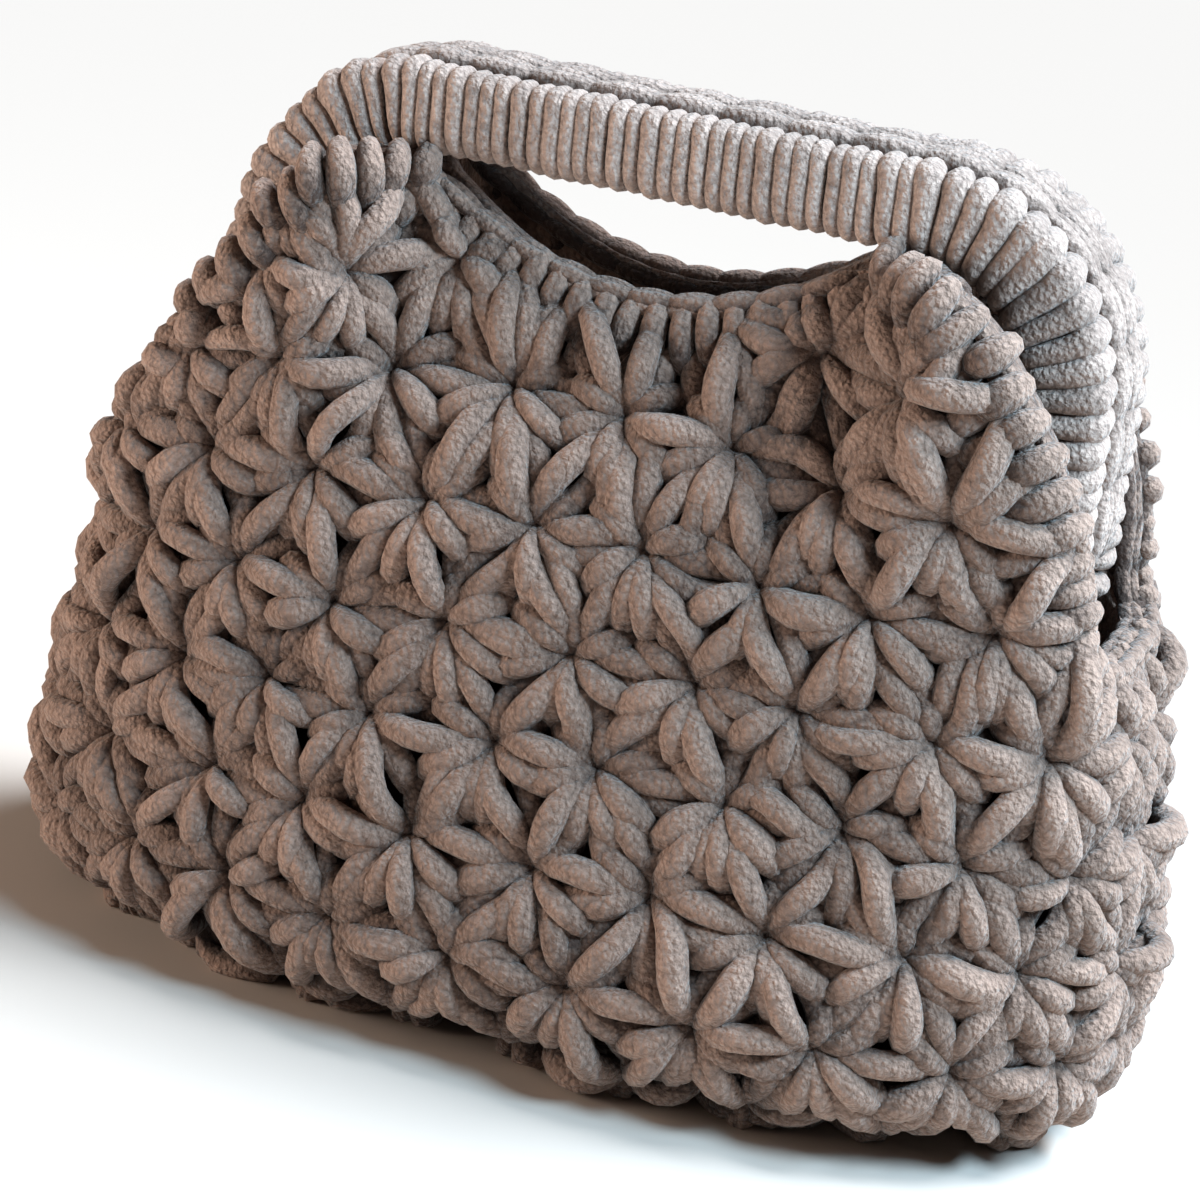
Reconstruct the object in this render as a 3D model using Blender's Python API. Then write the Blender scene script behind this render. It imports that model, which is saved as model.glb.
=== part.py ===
"""Crocheted handbag with two wound D-shaped handles. Metres, +Z up, front towards -Y."""

import math

import bpy
import numpy as np

# Driving sizes
BODY_WIDTH = 0.318
BODY_DEPTH = 0.156
HANDLE_TOP = 0.252
SIDE_RIM = 0.145
SIDE_DIP = 0.010
FOOT_SINK = 0.005
PANEL_COVER = 0.004
SHOULDER_TURN = math.radians(45)
KNIT = 0.012
FLOOR = 0.011
STAR_PITCH = 0.032
STAR_RISE = 0.0275
FIRST_STAR_ROW = 0.032
RELIEF = 0.0028
HANDLE_INSET = 0.032
CORNER_RADIUS = 0.058
LEG_FLARE = math.radians(2.0)
BAR_HEIGHT = 0.025
BAR_DEPTH = 0.016
BAR_SQUARENESS = 4.4
WRAP_PITCH = 0.0045
CHAIN_DIAMETER = 0.008
CHAIN_PITCH = 0.018
CHAIN_SPACING = 0.0132
SLOT_END = 0.064
SLOT_DEPTH = 0.0215
SLOT_RIM_DIAMETER = 0.007
GAP = 0.0005
SHOULDER_LEAN = 0.011

# Cross-sections of the body: height as a share of HANDLE_TOP, half-width as a share of
# BODY_WIDTH / 2, half-depth as a share of BODY_DEPTH / 2, exponent of the rounded oblong
SECTIONS = (
    {"height": 0.00, "width": 0.885, "depth": 0.82, "squareness": 2.6},
    {"height": 0.05, "width": 0.960, "depth": 0.93, "squareness": 2.7},
    {"height": 0.12, "width": 1.000, "depth": 1.00, "squareness": 2.8},
    {"height": 0.24, "width": 0.995, "depth": 0.90, "squareness": 3.0},
    {"height": 0.36, "width": 0.965, "depth": 0.80, "squareness": 3.4},
    {"height": 0.48, "width": 0.932, "depth": 0.72, "squareness": 4.2},
    {"height": 0.60, "width": 0.914, "depth": 0.628, "squareness": 5.0},
    {"height": 0.70, "width": 0.912, "depth": 0.47, "squareness": 5.2},
    {"height": 0.82, "width": 0.912, "depth": 0.335, "squareness": 5.2},
    {"height": 1.00, "width": 0.912, "depth": 0.32, "squareness": 5.2},
)

# Soft dents of the worked shell: place along the girth (0 front middle, 0.25 right side,
# 0.5 back middle, 0.75 left side), height as a share of HANDLE_TOP, spread, depth
DENTS = (
    {"girth": 0.80, "height": 0.42, "along": 0.030, "up": 0.014, "depth": 0.0050},
    {"girth": 0.70, "height": 0.33, "along": 0.022, "up": 0.018, "depth": 0.0030},
    {"girth": 0.25, "height": 0.50, "along": 0.030, "up": 0.022, "depth": 0.0040},
    {"girth": 0.08, "height": 0.40, "along": 0.045, "up": 0.012, "depth": 0.0025},
    {"girth": 0.55, "height": 0.42, "along": 0.050, "up": 0.014, "depth": 0.0030},
)

# Columns of the quarter shell: to the slot's end, to the leg, across the leg, on the side
COLUMNS = (8, 5, 5, 4)
STRAIGHT_ROWS = 10
RISING_ROWS = 11
INNER_STRAIGHT_ROWS = 4
INNER_RISING_ROWS = 5
STRAIGHT_HEIGHT = 0.40 * HANDLE_TOP

# The handle stands HANDLE_INSET in from the widest of the body, the panel passes its leg by
# PANEL_COVER, and the slot ends SLOT_END in from its outer side
HANDLE_WIDTH = BODY_WIDTH - 2 * HANDLE_INSET
PANEL_EDGE = HANDLE_WIDTH / 2 + PANEL_COVER
SLOT_WIDTH = HANDLE_WIDTH - 2 * SLOT_END
BAR_LOW = HANDLE_TOP - BAR_HEIGHT
CORNER_X = HANDLE_WIDTH / 2 - CORNER_RADIUS
CORNER_Z = HANDLE_TOP - CORNER_RADIUS
INNER_RADIUS = CORNER_RADIUS - BAR_HEIGHT
SHOULDER = CORNER_X + INNER_RADIUS * math.sin(SHOULDER_TURN)


def clear_scene():
    for obj in list(bpy.data.objects):
        bpy.data.objects.remove(obj, do_unlink=True)


def material(name, colour, roughness):
    made = bpy.data.materials.new(name)
    made.use_nodes = True
    shader = made.node_tree.nodes["Principled BSDF"]
    shader.inputs["Base Color"].default_value = (*colour, 1.0)
    shader.inputs["Roughness"].default_value = roughness
    return made


def leaned(point):
    """The left shoulder, handle and panel alike, sits SHOULDER_LEAN nearer the middle."""
    x, y, z = point
    left = ease(-x, 0.39 * HANDLE_WIDTH / 2, 0.98 * HANDLE_WIDTH / 2)
    high = ease(z, 0.52 * HANDLE_TOP, 0.79 * HANDLE_TOP)
    return (x + SHOULDER_LEAN * left * high, y, z)


def solid(name, points, faces, colour):
    mesh = bpy.data.meshes.new(name)
    mesh.from_pydata([leaned(p) for p in points], [], faces)
    mesh.update()
    obj = bpy.data.objects.new(name, mesh)
    bpy.context.scene.collection.objects.link(obj)
    mesh.materials.append(material(name + "_yarn", colour, 0.95))
    return obj


def along_table(height, column):
    """Catmull-Rom curve through one column of SECTIONS, at a height in metres."""
    xs = [row["height"] * HANDLE_TOP for row in SECTIONS]
    ys = [row[column] for row in SECTIONS]
    height = min(max(height, xs[0]), xs[-1])
    k = min(max(int(np.searchsorted(xs, height)) - 1, 0), len(xs) - 2)
    slopes = []
    for j in (k, k + 1):
        lo, hi = max(j - 1, 0), min(j + 1, len(xs) - 1)
        slopes.append((ys[hi] - ys[lo]) / (xs[hi] - xs[lo]))
    step = xs[k + 1] - xs[k]
    t = (height - xs[k]) / step
    return (
        (2 * t**3 - 3 * t**2 + 1) * ys[k]
        + (t**3 - 2 * t**2 + t) * step * slopes[0]
        + (3 * t**2 - 2 * t**3) * ys[k + 1]
        + (t**3 - t**2) * step * slopes[1]
    )


def half_width(height):
    return BODY_WIDTH / 2 * along_table(height, "width")


def half_depth(height):
    return BODY_DEPTH / 2 * along_table(height, "depth")


def ease(value, low, high):
    t = np.clip((value - low) / (high - low), 0, 1)
    return t * t * (3 - 2 * t)


def quarter(height, inset):
    """Quarter of the section from the front middle to the side: x, distance from y = 0, arc.

    Above the side rim the panel keeps its depth in front of the legs.
    """
    a = half_width(height) - inset
    n = along_table(height, "squareness")
    turn = np.linspace(0, math.pi / 2, 161)
    x = a * np.sin(turn) ** (2 / n)
    kept = half_depth(min(height, SIDE_RIM))
    over_leg = ease(x, 0.9 * SLOT_WIDTH / 2, 0.95 * SHOULDER)
    b = half_depth(height) + over_leg * (kept - half_depth(height)) - inset
    y = b * np.cos(turn) ** (2 / n)
    arc = np.concatenate([[0], np.cumsum(np.hypot(np.diff(x), np.diff(y)))])
    return x, y, arc


def slot_curve(x):
    """Height of the slot's lower edge."""
    return BAR_LOW - GAP - SLOT_DEPTH * (1 - (2 * x / SLOT_WIDTH) ** 2)


def rim_x(column):
    """x of a column of the quarter where it meets the rim, up to the panel's edge."""
    ends = (0, SLOT_WIDTH / 2 + GAP, SHOULDER, PANEL_EDGE)
    zone = 0
    while zone < 2 and column > COLUMNS[zone]:
        column -= COLUMNS[zone]
        zone += 1
    share = min(column / COLUMNS[zone], 1)
    if zone == 2:
        share = math.sin(math.pi / 2 * share)
    return ends[zone] + (ends[zone + 1] - ends[zone]) * share


def rim_height(column):
    """Height of the wall's rim: slot, inside of the handle's corner, across the leg, side."""
    x = rim_x(column)
    within = INNER_RADIUS - GAP
    if column <= COLUMNS[0]:
        return slot_curve(min(x, SLOT_WIDTH / 2)) - SLOT_RIM_DIAMETER - GAP
    if column <= sum(COLUMNS[:2]):
        return CORNER_Z + math.sqrt(within**2 - max(x - CORNER_X, 0) ** 2)
    if column <= sum(COLUMNS[:3]):
        drop = CORNER_Z + math.sqrt(within**2 - (SHOULDER - CORNER_X) ** 2) - SIDE_RIM
        return SIDE_RIM + drop * max(1 - (x - SHOULDER) / (PANEL_EDGE - SHOULDER), 0) ** 0.6
    past = (column - sum(COLUMNS[:3])) / COLUMNS[3]
    return SIDE_RIM - SIDE_DIP * math.sin(math.pi / 2 * past) ** 2


def wall_point(column, height, inset):
    """x, distance from y = 0, girth share and girth of a column of the quarter at a height."""
    x, y, arc = quarter(height, inset)
    edge = PANEL_EDGE * half_width(min(height, SIDE_RIM)) / half_width(SIDE_RIM)
    first = sum(COLUMNS[:3])
    place = float(np.interp(edge * rim_x(min(column, first)) / PANEL_EDGE, x, arc))
    if column > first:
        place += (arc[-1] - place) * (column - first) / COLUMNS[3]
    return (
        float(np.interp(place, arc, x)),
        float(np.interp(place, arc, y)),
        place / arc[-1] / 4,
        arc[-1] * 4,
    )


def star_centres():
    """Girth share and height of every pinched centre of the stitch."""
    found = []
    row, height = 0, FIRST_STAR_ROW
    while height < BAR_LOW:
        girth = quarter(height, 0)[2][-1] * 4
        count = max(round(girth / STAR_PITCH), 4)
        found += [((i + 0.5 * (row % 2)) / count, height) for i in range(count)]
        row, height = row + 1, height + STAR_RISE
    return np.array(found)


STARS = star_centres()


def relief(girth_share, girth, height, rim):
    """Outward shift of the outer face: pinched star centres, puffs between them, dents."""
    around = np.abs(girth_share - STARS[:, 0])
    around = np.minimum(around, 1 - around) * girth
    apart = np.hypot(around, height - STARS[:, 1])
    pinch = np.exp(-((apart / (0.26 * STAR_PITCH)) ** 2)).sum()
    shift = RELIEF * (0.8 - 2.2 * pinch)
    for dent in DENTS:
        gone = abs(girth_share - dent["girth"])
        gone = min(gone, 1 - gone) * girth / dent["along"]
        rise = (height - dent["height"] * HANDLE_TOP) / dent["up"]
        shift -= dent["depth"] * math.exp(-(gone**2) - rise**2)
    fade = min(1, height / (0.4 * FIRST_STAR_ROW)) * min(1, (rim - height) / (0.35 * STAR_RISE))
    return shift * fade


def quarter_column(column, outer):
    """Points of one column, bottom to rim, for x > 0 and y < 0, with girth shares."""
    rim = rim_height(column)
    low = 0 if outer else FLOOR
    straight = STRAIGHT_ROWS if outer else INNER_STRAIGHT_ROWS
    rising = RISING_ROWS if outer else INNER_RISING_ROWS
    heights = [low + (STRAIGHT_HEIGHT - low) * k / straight for k in range(straight)]
    heights += [STRAIGHT_HEIGHT + (rim - STRAIGHT_HEIGHT) * k / rising for k in range(rising + 1)]
    made = []
    for height in heights:
        x, y, share, girth = wall_point(column, height, 0 if outer else KNIT)
        made.append((x, y, height, share, girth, rim))
    return made


def ring_of_columns(outer):
    """All columns round the body, from the front middle over the right side."""
    last = sum(COLUMNS)
    quarters = [quarter_column(c, outer) for c in range(last + 1)]
    plan = [(c, 1, -1, 0) for c in range(last)]
    plan += [(c, 1, 1, 1) for c in range(last, 0, -1)]
    plan += [(c, -1, 1, 2) for c in range(last)]
    plan += [(c, -1, -1, 3) for c in range(last, 0, -1)]
    columns = []
    for c, side, face, quadrant in plan:
        column = []
        for x, y, height, share, girth, rim in quarters[c]:
            share = (share, 0.5 - share, 0.5 + share, 1 - share)[quadrant] % 1
            point = np.array([side * x, face * y, height])
            if outer:
                out = np.array([side * x / half_width(height) ** 2, face * y / half_depth(height) ** 2])
                out /= max(np.hypot(*out), 1e-9)
                point[:2] += out * relief(share, girth, height, rim)
            column.append(point)
        columns.append(column)
    return columns


def build_body():
    outer, inner = ring_of_columns(True), ring_of_columns(False)
    around, high, deep = len(outer), len(outer[0]), len(inner[0])
    points = [p for column in outer for p in column]
    points += [p for column in inner for p in column]
    start = around * high
    points += [np.array([0, 0, 0]), np.array([0, 0, FLOOR])]
    under, floor = len(points) - 2, len(points) - 1
    faces = []
    for c in range(around):
        d = (c + 1) % around
        for row in range(high - 1):
            faces.append((c * high + row, d * high + row, d * high + row + 1, c * high + row + 1))
        for row in range(deep - 1):
            a, b = start + c * deep + row, start + d * deep + row
            faces.append((a, a + 1, b + 1, b))
        faces.append(
            (c * high + high - 1, d * high + high - 1, start + d * deep + deep - 1,
             start + c * deep + deep - 1)
        )
        faces.append((under, d * high, c * high))
        faces.append((floor, start + c * deep, start + d * deep))
    return solid("bag_body", points, faces, (0.30, 0.25, 0.215))


def arch(inset, step):
    """Points, inward normals and arc lengths of the handle's outline, from foot to foot."""
    radius = CORNER_RADIUS - inset
    centre_x, centre_z = CORNER_X, CORNER_Z
    turn = math.pi / 2 - LEG_FLARE
    end = np.array([centre_x + radius * math.sin(turn), centre_z + radius * math.cos(turn)])
    leg = (end[1] - SIDE_RIM + FOOT_SINK) / math.cos(LEG_FLARE)
    top, bend = centre_x, radius * turn
    total = top + bend + leg
    count = max(4, round(total / step))
    points, normals, arcs = [], [], []
    for k in range(-count, count + 1):
        s = total * abs(k) / count
        if s <= top:
            place, inward = np.array([s, HANDLE_TOP - inset]), np.array([0.0, -1.0])
        elif s <= top + bend:
            a = (s - top) / radius
            place = np.array([centre_x + radius * math.sin(a), centre_z + radius * math.cos(a)])
            inward = -np.array([math.sin(a), math.cos(a)])
        else:
            down = s - top - bend
            place = end + down * np.array([math.sin(LEG_FLARE), -math.cos(LEG_FLARE)])
            inward = -np.array([math.cos(LEG_FLARE), math.sin(LEG_FLARE)])
        if k < 0:
            place, inward = place * [-1, 1], inward * [-1, 1]
        points.append(place)
        normals.append(inward)
        arcs.append(total * k / count)
    return points, normals, arcs


def sweep(name, points, normals, y, radial, depth, squareness, sides, swell, level, colour):
    """Rounded bar along a path in the plane of x and z. swell scales each ring."""
    rings = []
    for k, (place, inward) in enumerate(zip(points, normals)):
        for j in range(sides):
            a = 2 * math.pi * (j + 0.5) / sides
            c, s = math.cos(a), math.sin(a)
            u = math.copysign(abs(c) ** (2 / squareness), c) * radial * swell[k]
            v = math.copysign(abs(s) ** (2 / squareness), s) * depth * swell[k]
            x, z = place + inward * u
            if level is not None and k in (0, len(points) - 1):
                z = level
            rings.append(np.array([x, y + v, z]))
    faces = []
    for k in range(len(points) - 1):
        for j in range(sides):
            a, b = k * sides + j, k * sides + (j + 1) % sides
            faces.append((a, b, b + sides, a + sides))
    faces.append(tuple(range(sides - 1, -1, -1)))
    last = (len(points) - 1) * sides
    faces.append(tuple(last + j for j in range(sides)))
    obj = solid(name, rings, faces, colour)
    mesh = obj.data
    centre = sum((v.co for v in mesh.vertices), mesh.vertices[0].co * 0) / len(mesh.vertices)
    if signed_volume(mesh, centre) < 0:
        mesh.flip_normals()
    return obj


def signed_volume(mesh, centre):
    mesh.calc_loop_triangles()
    total = 0.0
    for tri in mesh.loop_triangles:
        a, b, c = (mesh.vertices[i].co - centre for i in tri.vertices)
        total += a.dot(b.cross(c))
    return total


def build_handle(side, name):
    """Wound bar. Each rib stands for two wraps of yarn."""
    points, normals, arcs = arch(BAR_HEIGHT / 2, WRAP_PITCH)
    swell = [0.97 + 0.03 * (-1) ** k for k in range(len(points))]
    flat = math.cos(math.pi / 8) ** (2 / BAR_SQUARENESS)
    y = side * (CHAIN_SPACING / 2 + CHAIN_DIAMETER / 2 + GAP + BAR_DEPTH / 2)
    return sweep(
        name, points, normals, y, BAR_HEIGHT / 2 / flat, BAR_DEPTH / 2 / flat, BAR_SQUARENESS, 8, swell,
        SIDE_RIM - FOOT_SINK, (0.36, 0.31, 0.27),
    )


def build_chain(side, name):
    """Chain along the outer edge of a handle, on the side of the other handle."""
    points, normals, arcs = arch(0.58 * CHAIN_DIAMETER, CHAIN_PITCH / 4)
    swell = [0.90 + 0.10 * math.cos(2 * math.pi * s / CHAIN_PITCH) for s in arcs]
    return sweep(
        name, points, normals, side * CHAIN_SPACING / 2, CHAIN_DIAMETER / 2, CHAIN_DIAMETER / 2,
        2.0, 6, swell, SIDE_RIM - FOOT_SINK, (0.40, 0.35, 0.31),
    )


def build_slot_rim(side, name):
    """Chain that finishes the panel's edge under the bar."""
    half, count = SLOT_WIDTH / 2, 28
    points, normals, swell = [], [], []
    for k in range(count + 1):
        x = half * (2 * k / count - 1)
        slope = 8 * SLOT_DEPTH * x / SLOT_WIDTH**2
        inward = np.array([slope, -1.0]) / math.hypot(slope, 1)
        points.append(np.array([x, slot_curve(x) - SLOT_RIM_DIAMETER / 2]))
        normals.append(np.array([0.0, -1.0]))
        swell.append((0.92 + 0.06 * math.cos(2 * math.pi * k / 3)))
    height = slot_curve(0)
    y = side * (half_depth(height) - KNIT / 2)
    return sweep(
        name, points, normals, y, SLOT_RIM_DIAMETER / 2, SLOT_RIM_DIAMETER / 2, 2.0, 6, swell,
        None, (0.38, 0.33, 0.29),
    )


def main():
    clear_scene()
    build_body()
    for side, word in ((-1, "front"), (1, "back")):
        build_handle(side, "handle_" + word)
        build_chain(side, "handle_chain_" + word)
        build_slot_rim(side, "slot_rim_" + word)


main()
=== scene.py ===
"""Looks of the crocheted handbag: yarn strands over the packed solids, studio and camera."""

import math

import bpy
import numpy as np
from bpy.props import FloatProperty, FloatVectorProperty, IntProperty, PointerProperty
from mathutils import Matrix


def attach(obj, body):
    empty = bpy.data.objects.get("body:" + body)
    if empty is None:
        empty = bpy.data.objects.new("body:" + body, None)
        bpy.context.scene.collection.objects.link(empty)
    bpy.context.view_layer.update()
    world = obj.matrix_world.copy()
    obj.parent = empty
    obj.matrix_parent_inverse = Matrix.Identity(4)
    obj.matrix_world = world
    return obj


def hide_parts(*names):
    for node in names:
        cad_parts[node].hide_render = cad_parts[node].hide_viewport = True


bl_info = {
    "name": "Crocheted handbag",
    "version": (1, 0, 0),
    "blender": (4, 5, 0),
    "location": "View3D > Sidebar > Bag",
    "description": "Yarn, wound handles, chain edges and studio for the handbag",
    "category": "Object",
}

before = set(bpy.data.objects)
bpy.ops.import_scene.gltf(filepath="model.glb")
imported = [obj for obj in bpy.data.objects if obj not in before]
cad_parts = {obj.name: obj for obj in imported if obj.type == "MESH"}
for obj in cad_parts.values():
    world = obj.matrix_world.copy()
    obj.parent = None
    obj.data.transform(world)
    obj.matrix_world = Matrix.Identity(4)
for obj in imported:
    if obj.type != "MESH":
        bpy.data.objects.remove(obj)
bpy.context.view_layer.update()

# Sizes shared with the solids, in metres
BODY_WIDTH, BODY_DEPTH, HANDLE_TOP = 0.318, 0.156, 0.252
SIDE_RIM, SIDE_DIP, FOOT_SINK, PANEL_COVER = 0.145, 0.010, 0.005, 0.004
SHOULDER_TURN = math.radians(45)
KNIT, FLOOR = 0.012, 0.011
HANDLE_INSET, CORNER_RADIUS, LEG_FLARE = 0.032, 0.058, math.radians(2.0)
BAR_HEIGHT, BAR_DEPTH, CHAIN_DIAMETER, CHAIN_SPACING = 0.025, 0.016, 0.008, 0.0132
SLOT_END, SLOT_DEPTH, SLOT_RIM_DIAMETER, GAP = 0.064, 0.0215, 0.007, 0.0005
SHOULDER_LEAN = 0.011
HANDLE_WIDTH = BODY_WIDTH - 2 * HANDLE_INSET
PANEL_EDGE = HANDLE_WIDTH / 2 + PANEL_COVER
SLOT_WIDTH = HANDLE_WIDTH - 2 * SLOT_END
BAR_LOW = HANDLE_TOP - BAR_HEIGHT
CORNER_X, CORNER_Z = HANDLE_WIDTH / 2 - CORNER_RADIUS, HANDLE_TOP - CORNER_RADIUS
INNER_RADIUS = CORNER_RADIUS - BAR_HEIGHT
SHOULDER = CORNER_X + INNER_RADIUS * math.sin(SHOULDER_TURN)

# How far the puffs lap over the handle's leg beyond the solid panel's edge
LAP = 0.006

# Cross-sections of the body: shares of HANDLE_TOP, BODY_WIDTH / 2, BODY_DEPTH / 2, exponent
SECTION_COLUMNS = ("height", "width", "depth", "squareness")
SECTIONS = np.array(
    (
        (0.00, 0.885, 0.82, 2.6),
        (0.05, 0.960, 0.93, 2.7),
        (0.12, 1.000, 1.00, 2.8),
        (0.24, 0.995, 0.90, 3.0),
        (0.36, 0.965, 0.80, 3.4),
        (0.48, 0.932, 0.72, 4.2),
        (0.60, 0.914, 0.628, 5.0),
        (0.70, 0.912, 0.47, 5.2),
        (0.82, 0.912, 0.335, 5.2),
        (1.00, 0.912, 0.32, 5.2),
    )
)

# Soft dents: girth share, height share of HANDLE_TOP, spread along, spread up, depth
DENTS = (
    (0.80, 0.42, 0.030, 0.014, 0.0050),
    (0.70, 0.33, 0.022, 0.018, 0.0030),
    (0.25, 0.50, 0.030, 0.022, 0.0040),
    (0.08, 0.40, 0.045, 0.012, 0.0025),
    (0.55, 0.42, 0.050, 0.014, 0.0030),
)

# Star rows of the stitch: level (height, or minus the distance in from the base's edge),
# x of one star on the front, number of stars round the girth
STAR_ROWS = (
    (-0.050, 0.004, 8),
    (-0.026, 0.018, 15),
    (0.0055, 0.0102, 22),
    (0.0320, 0.0262, 24),
    (0.0595, 0.0427, 24),
    (0.0870, 0.0542, 24),
    (0.1145, 0.0385, 23),
    (0.1420, 0.0523, 23),
    (0.1695, 0.0356, 23),
    (0.1965, 0.0196, 23),
)

# How far apart two stars, or a star and a point on the rim, may be to be joined by a puff,
# the nearest that they may be, and the step between such points on the rim
STAR_REACH, RIM_REACH, LEAST_REACH, RIM_SITE_PITCH = 0.0440, 0.0360, 0.009, 0.0210

# The rows' rise under the slot, half the width of that rise and the levels it grows between
SLOT_LIFT, LIFT_WIDTH, LIFT_FROM, LIFT_TO = 0.0075, 0.055, 0.125, 0.165

# Stars keep RIM_STRIP off the rim, and those lower than LEVEL_ROWS keep their row's level
RIM_STRIP, LEVEL_ROWS, LEVEL_SHIFT = 0.010, 0.01, 0.8

# Points on the rim: first one in steps, and how far they lie under it
RIM_SITE_START, RIM_SITE_DROP = 0.3, 0.003

# Share of a puff's half length within which another one crosses it
CROSSING = 0.97

# Strands of a puff: sideways in strands, height in puffs, thickness in strands
PUFF_STRANDS = ((-0.28, 1.00, 1.18), (0.68, 0.72, 1.04))

# How a puff's strands turn about each other: spread of the middle angle and of the whole turn
PUFF_SWING, PUFF_TWIST = 0.55, 1.1

# Lobes between puffs: sector (4 hangs straight down, 1 stands up), share of the gap's angle,
# share of the puffs' length, height in puffs, thickness in strands
LOBES = (
    (4, 0.33, 0.64, 0.86, 1.04),
    (4, 0.69, 0.70, 0.92, 1.08),
    (3, 0.46, 0.66, 0.86, 1.14),
    (2, 0.52, 0.56, 0.70, 1.12),
    (1, 0.50, 0.50, 0.60, 1.04),
)

# Gaps between puffs that take lobes, in radians, and how far lobes start over the holes
LEAST_GAP, MOST_GAP, LOBE_LIFT = 0.5, 2.1, 0.0014

# Pieces that the stars are parted into, half width of the panels, height between low and high
REGIONS = (
    "stars_front_low", "stars_front_high", "stars_back_low", "stars_back_high",
    "stars_right", "stars_left", "stars_base",
)
PANEL_REACH, PANEL_SPLIT = 0.118, 0.085

# Painted shade: strands are painted darker from this height over the face down, fully shaded VALLEY
# further down
CREST, VALLEY = 0.0036, 0.0092

# Painted shade on a strand's underside, in the stars and elsewhere
STAR_UNDERSIDE_SHADE, YARN_UNDERSIDE_SHADE = 0.90, 1.05

# Faces: rings along a puff's strand, along other short strands, sides of a strand
PUFF_RINGS, SHORT_RINGS, SIDES = 13, 11, 8

# The ground under the puffs: distance in from the face, underside, columns, rows out and in,
# painted shade outside, inside, under the base and on the floor of the bag
GROUND_INSET, GROUND_UNDER = 0.0090, 0.0098
GROUND_COLUMNS, GROUND_OUT, GROUND_IN = 240, 46, 40
GROUND_SHADE = (0.66, 0.08, 1, 0.4)

# Level where the girth of the worked strip is taken
BELLY_LEVEL = 0.03

# The winding: steps round a wrap, sides of its strand, squareness of the bar, how far the
# strand's path and the core lie in from the bar's face (height, depth)
WRAP_STEPS, WRAP_SIDES, BAR_SQUARENESS = 26, 12, 3.4
WRAP_IN, CORE_IN = (0.0032, 0.0018), (0.0040, 0.0024)
# The core under the wraps: its rings, its sides, and the painted shade over all of it
CORE_RINGS, CORE_SIDES, CORE_SHADE = 120, 16, 0.9

# The winding keeps WRAP_MARGIN off the feet and is measured in WRAP_SAMPLES places
WRAP_MARGIN, WRAP_SAMPLES = 0.003, 2000

# Wraps stand further apart from the top's middle out: share, from, to
WRAP_WIDENS = (0.42, 0.045, 0.100)

# Hand-work of the winding, in pitches and shares, its strand's radius in pitches, its lumps
WRAP_WANDER, WRAP_THICKNESS, WRAP_RADIUS = 0.10, 0.07, 0.55
WRAP_LUMPS, LUMP_SPREAD = 5, 0.055

# The strand swells over the bar's outer edge: share, angle of the crest, width
WRAP_SWELL = (0.30, 0.62, 0.42)

# The strand is thinner inside the corners: where that grows, past the corner's start, where it
# fades, before the feet, and how much it is
CORNER_GROWS, CORNER_FADES, CORNER_THINS = (-0.004, 0.012), (0.05, 0.035), 1.15

# Rows of rim posts: start inside the rim, lowest and crest over the face, pitch, radius,
# and whether the row is on the handles' shoulders
POST_ROWS = (
    (-0.001, -0.0085, 0.0060, 0.0070, 0.0038, False),
    (0.010, -0.0085, 0.0042, 0.0070, 0.0038, False),
    (-0.004, -0.0075, 0.0085, 0.0096, 0.0046, True),
    (0.007, -0.0085, 0.0070, 0.0100, 0.0042, True),
)

# Strands of the rim's chain: height over the face and bulge, two legs and the inner edge
RIM_STRANDS = ((-0.0070, -0.0024), (-0.0070, 0.0024), (-0.0106, -0.0006))
RIM_CHAIN_PITCH, RIM_CHAIN_RADIUS, RIM_CHAIN_SIDES, RIM_CHAIN_LAP = 0.0115, 0.0027, 7, 1.4

# Share of a strand's radius that stays under its path where it is pressed on the floor
PRESSED = 0.82

# Distance that keeps two faces apart
HAIR = 0.0002

# Y, from the front handle to the back one
SIDEWAYS = np.array([0.0, 1.0, 0.0])

# Chenille, in repeats per metre: its nubs, its pile, soft patches and broad patches
NUBS, PILE, SOFT, BROAD = 620.0, 1500.0, 120.0, 14.0

# Weights in its shade (depth, nubs, pile, soft patches, less), painted shade in depth and in the
# relief's low spots but soft patches a random tone, in its tone (the strand's own, broad patches,
# least) and in its relief (nubs, pile, soft patches)
SHADE, TONE, RELIEF = (0.95, 0.62, 0.65, 0.30, 0.05), (0.6, 0.9, 0.2), (0.7, 0.5, 0.25)
PALER, PALER_LIFT, DARKER, RELIEF_DEPTH = 1.22, 0.012, 0.78, 0.0018

# Surface of yarn: matt, with a soft warm sheen as pile has
YARN_SURFACE = {
    "Roughness": 0.95, "Specular IOR Level": 0.25, "Sheen Weight": 0.22,
    "Sheen Roughness": 0.5, "Sheen Tint": (1.0, 0.94, 0.88, 1),
}

# Lights: kind, place, angle of a sun or width of a panel, colour
DAYLIGHT = (0.735, 0.87, 1.0)
LIGHTS = {
    "key": ("SUN", (0.66, 0.38, 1.30), math.radians(28), DAYLIGHT),
    "window": ("AREA", (0.45, -0.17, 0.48), 0.22, (0.50, 0.77, 1.0)),
    "fill": ("AREA", (-0.80, -0.40, 0.20), 0.38, (1.0, 0.87, 0.76)),
}
SKY_COLOUR, FLOOR_REACH, AIM_HEIGHT = (1.0, 0.95, 0.90), 6.0, 0.12

# Camera of the view: place, turn about +Z, tilt down, roll, focal length in image widths
CAMERA_PLACE = (0.2444, -0.7549, 0.3703)
CAMERA_TURN, CAMERA_TILT, CAMERA_ROLL = 18.28, 18.04, 8.52
CAMERA_FOCAL = 3030 / 1200


# Sizes and colours that a user would change


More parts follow.
